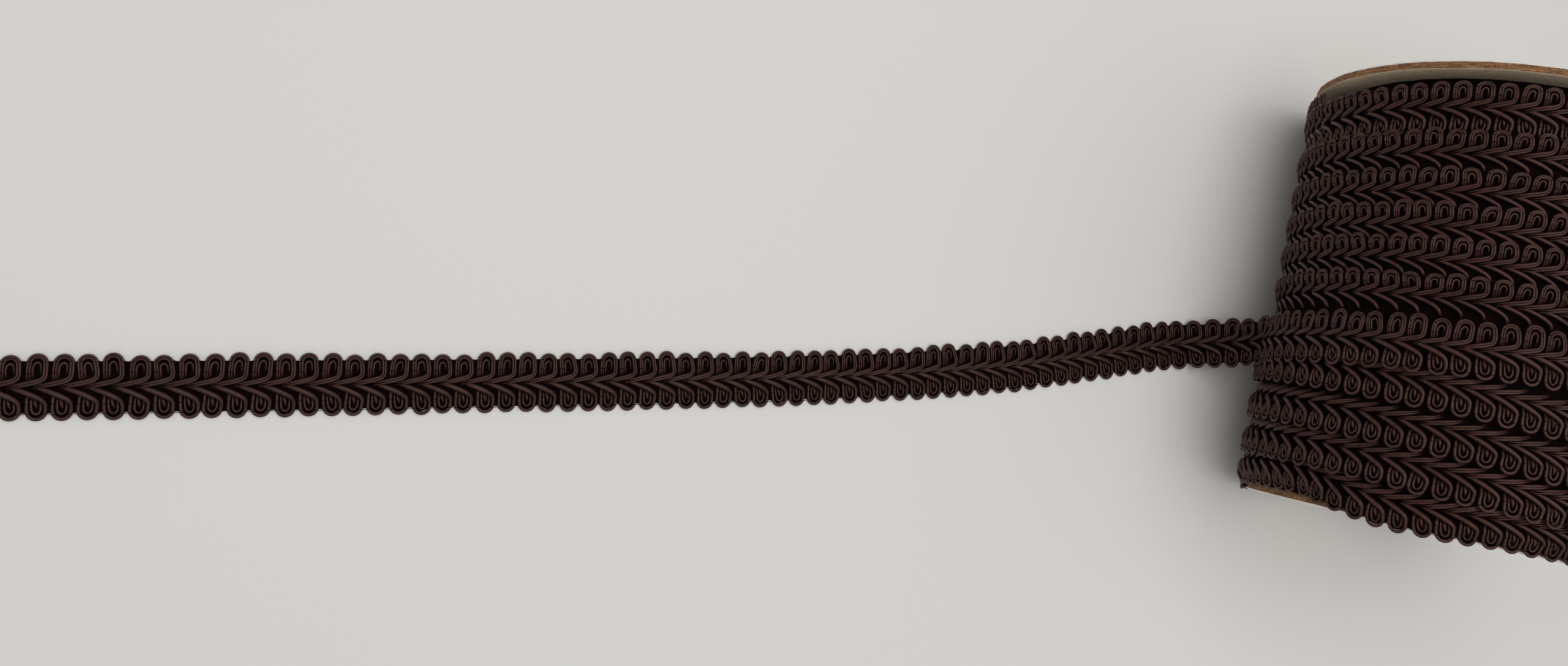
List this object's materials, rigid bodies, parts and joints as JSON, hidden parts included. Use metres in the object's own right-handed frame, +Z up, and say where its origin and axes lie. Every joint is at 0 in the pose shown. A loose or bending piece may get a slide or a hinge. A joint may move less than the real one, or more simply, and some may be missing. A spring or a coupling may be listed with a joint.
{
  "type": "galloon trim on a flanged reel",
  "caption": "Narrow dark brown scroll braid with looped edges, wound on a small chipboard reel that lies on its side, its loose end running out along the table.",
  "frame": {"origin": "on the table under the middle of the reel's axis, where the winding's flat spot rests", "axes": "+Y along the reel's axis towards the far flange, +Z up, the loose end runs towards -X"},
  "size_m": [0.3393, 0.1317, 0.0775],
  "materials": {
    "braid": "viscose gimp cord with a soft satin sheen",
    "chipboard": "raw grey-brown chipboard rim with pale paper faces"
  },
  "bodies": {
    "root": {"wound_braid": "braid", "loose_tail": "braid", "flange_far": "chipboard", "flange_near": "chipboard"}
  },
  "joints": []
}
